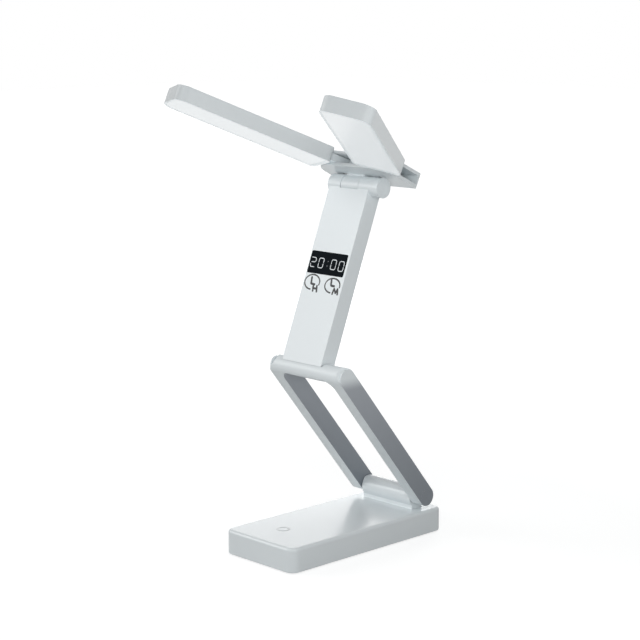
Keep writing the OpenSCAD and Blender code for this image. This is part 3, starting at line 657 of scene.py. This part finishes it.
# %% Digits
DIGIT_W = 4.9
DIGIT_TOP = 83.0
DIGIT_FOOT = 75.6
DIGIT_MIDDLE = 79.3
DIGIT_STROKE = 0.64
DIGIT_GAP = 0.55
DIGIT_CORNER = 1.3
DIGIT_LOW = -0.02
DIGIT_HIGH = 0.03
DOT_STROKE = 0.8
DOT_ACROSS = -0.5
DOTS_ALONG = (81.1, 77.7)
DOT_HALF = 0.05


def nought(middle, drop):
    """Two arches that face each other: the paths of one nought, its top drop below the row's."""
    left, right = middle - DIGIT_W / 2, middle + DIGIT_W / 2
    split = DIGIT_MIDDLE - drop
    upper = [(left, split + DIGIT_GAP), (left, DIGIT_TOP - drop),
             (right, DIGIT_TOP - drop), (right, split + DIGIT_GAP)]
    lower = [(left, split - DIGIT_GAP), (left, DIGIT_FOOT - drop),
             (right, DIGIT_FOOT - drop), (right, split - DIGIT_GAP)]
    return [round_path(upper, DIGIT_CORNER), round_path(lower, DIGIT_CORNER)]


two_top = round_path([(-17.5, 82.9), (-12.9, 82.7), (-13.3, 79.5), (-17.2, 79.3)], DIGIT_CORNER)
two_foot = round_path([(-18.0, 77.9), (-17.7, 75.7), (-13.9, 75.7)], DIGIT_CORNER)
dots = [[(DOT_ACROSS, z - DOT_HALF), (DOT_ACROSS, z), (DOT_ACROSS, z + DOT_HALF)]
        for z in DOTS_ALONG]
digit_paths = [two_top, two_foot, *nought(-7.4, 0), *nought(5.7, 0), *nought(13.9, 0.4)]
digit_grids = [stroke(path, DIGIT_STROKE, DIGIT_LOW, DIGIT_HIGH) for path in digit_paths]
dot_grids = [stroke(path, DOT_STROKE, DIGIT_LOW, DIGIT_HIGH) for path in dots]
digit_light = finish("digit_light", (0.60, 0.63, 0.65), 0.4, glow=0.2)
dot_light = finish("dot_light", (0.16, 0.17, 0.18), 0.4)
tube_piece("clock_digits", digit_grids, digit_light, "arm")
tube_piece("clock_dots", dot_grids, dot_light, "arm")

# %% [markdown]
# ## The key signs
#
# Below the window two printed signs show where the hidden touch keys are: a clock face that sets
# the hours and one that sets the minutes. Each is an open ring, two hands and one letter.

# %% Ink strokes
INK_LOW = -0.02
INK_HIGH = 0.02
INK_STEP = 0.006
RING_STROKE = 1.15
HAND_STROKE = 1.75
LETTER_STROKE = 1.6
ink = finish("printed_ink", (0.006, 0.007, 0.009), 0.5, drift=0.1, drift_mm=2)
left_sign = [
    (ring_path((-11.2, 64.3), 7.7, 5.6, -15, 268), RING_STROKE),
    (round_path([(-12.6, 67.7), (-11.9, 63.0), (-8.2, 62.6)], 0.5), HAND_STROKE),
    ([(-9.0, 61.9), (-8.65, 59.8), (-8.3, 57.7)], LETTER_STROKE),
    ([(-5.3, 61.9), (-4.8, 59.75), (-4.3, 57.6)], LETTER_STROKE),
    ([(-8.7, 59.8), (-6.7, 59.75), (-4.8, 59.7)], LETTER_STROKE),
]
right_sign = [
    (ring_path((10.2, 63.8), 7.6, 5.5, -7, 266), RING_STROKE),
    (round_path([(7.9, 68.5), (8.8, 63.7), (12.1, 63.6)], 1.0), HAND_STROKE),
    ([(12.2, 57.8), (12.55, 59.85), (12.9, 61.9)], LETTER_STROKE),
    ([(12.9, 61.9), (14.05, 60.35), (15.2, 58.8)], LETTER_STROKE),
    ([(15.2, 58.8), (15.8, 60.35), (16.4, 61.9)], LETTER_STROKE),
    ([(16.4, 61.9), (16.9, 59.95), (17.4, 58.0)], LETTER_STROKE),
]
for name, sign in (("hour_key_sign", left_sign), ("minute_key_sign", right_sign)):
    grids = [stroke(path, width, INK_LOW, INK_HIGH + INK_STEP * order)
             for order, (path, width) in enumerate(sign)]
    tube_piece(name, grids, ink, "arm")

# %% [markdown]
# ## Screws with a cross recess
#
# Three groups of screws show from behind and below: in the arm's back, in the leg covers and under
# the carrier. The frame holds them as plain stepped cylinders. Each is made again as one surface
# turned about the screw's axis, and the head's height has a cross taken out of it. A cross could
# be cut with a boolean, but a height that depends on x and y keeps the mesh clean.

# %% Where the frame's screws are
HEAD_FACE_MM = 0.01
HEAD_REACH_MM = 4.5


def screw_heads(name, out):
    """The middle and radius of each head: points that lie furthest along out, taken in clusters."""
    points = points_of(name)
    height = points @ out
    face = np.unique(np.round(points[height > height.max() - HEAD_FACE_MM * MM], 6), axis=0)
    heads = []
    while len(face):
        near = np.linalg.norm(face - face[0], axis=1) < HEAD_REACH_MM * MM
        middle = face[near].mean(0)
        heads.append((middle, np.linalg.norm(face[near] - middle, axis=1).max()))
        face = face[~near]
    return heads, height.max() - height.min()


# %% [markdown]
# The screw itself is a profile turned about its axis: a blunt point, a shank, a flat step out to
# the head, and a low dome. Only the dome's rings carry the cross.

# %% The surface of one screw
SHANK_R = 0.9
POINT_LONG = 0.6
POINT_SHARE = 0.5
HEAD_RIM = 0.1
HEAD_DEEP = 1.1
DOME_DROP = 0.4
CROSS_DEEP = 0.75
CROSS_HALF = 0.3
CROSS_REACH = 0.72
CROSS_EDGE = 0.12
SCREW_COLUMNS = 72
HEAD_RINGS = 22
HEAD_TIP = 0.02


def ease(value):
    """Rises smoothly from 0 to 1: three times the square less twice the cube."""
    value = np.clip(value, 0, 1)
    return value * value * (3 - 2 * value)


def cross_screw(middle, radius, out, length):
    """The grid of one screw. On the head the height falls with the square of the distance from
    the axis, and inside the two bars of the cross it lies CROSS_DEEP lower."""
    radius, length = radius / MM, length / MM
    turn = np.arange(SCREW_COLUMNS) * 2 * math.pi / SCREW_COLUMNS
    sides = [(SHANK_R * POINT_SHARE, -length), (SHANK_R, -length + POINT_LONG),
             (SHANK_R, -HEAD_DEEP), (radius, -HEAD_DEEP),
             (radius, -DOME_DROP - HEAD_RIM), (radius, -DOME_DROP)]
    rings = np.linspace(1, HEAD_TIP, HEAD_RINGS)
    far = np.concatenate([[r for r, _ in sides], rings * radius])[:, None]
    high = np.concatenate([[z for _, z in sides], -DOME_DROP * rings ** 2])[:, None]
    x, y = far * np.cos(turn), far * np.sin(turn)
    narrow, wide = np.minimum(abs(x), abs(y)), np.maximum(abs(x), abs(y))
    cross = ease((CROSS_HALF - narrow) / CROSS_EDGE) * ease((CROSS_REACH * radius - wide) / CROSS_EDGE)
    on_head = np.arange(len(far))[:, None] >= len(sides)
    z = high - CROSS_DEEP * cross * on_head
    across = np.array([1.0, 0, 0])
    beside = np.cross(out, across)
    return (middle + x[..., None] * MM * across + y[..., None] * MM * beside
            + z[..., None] * MM * out)


# %% Three groups of screws
frame_up = elbow - joint_at["base_hinge"]
frame_up /= np.linalg.norm(frame_up)
frame_back = np.array([0, frame_up[2], -frame_up[1]])
for name, out, body in (("arm_screws", -arm_out, "arm"), ("leg_cover_screws", frame_back, "frame"),
                        ("carrier_screws", -swivel_axis, "head")):
    heads, length = screw_heads(name, out)
    grids = [cross_screw(middle, radius, out, length) for middle, radius in heads]
    screws = tube_piece("cross_" + name, grids, finishes["steel"], body)
    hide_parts(name)
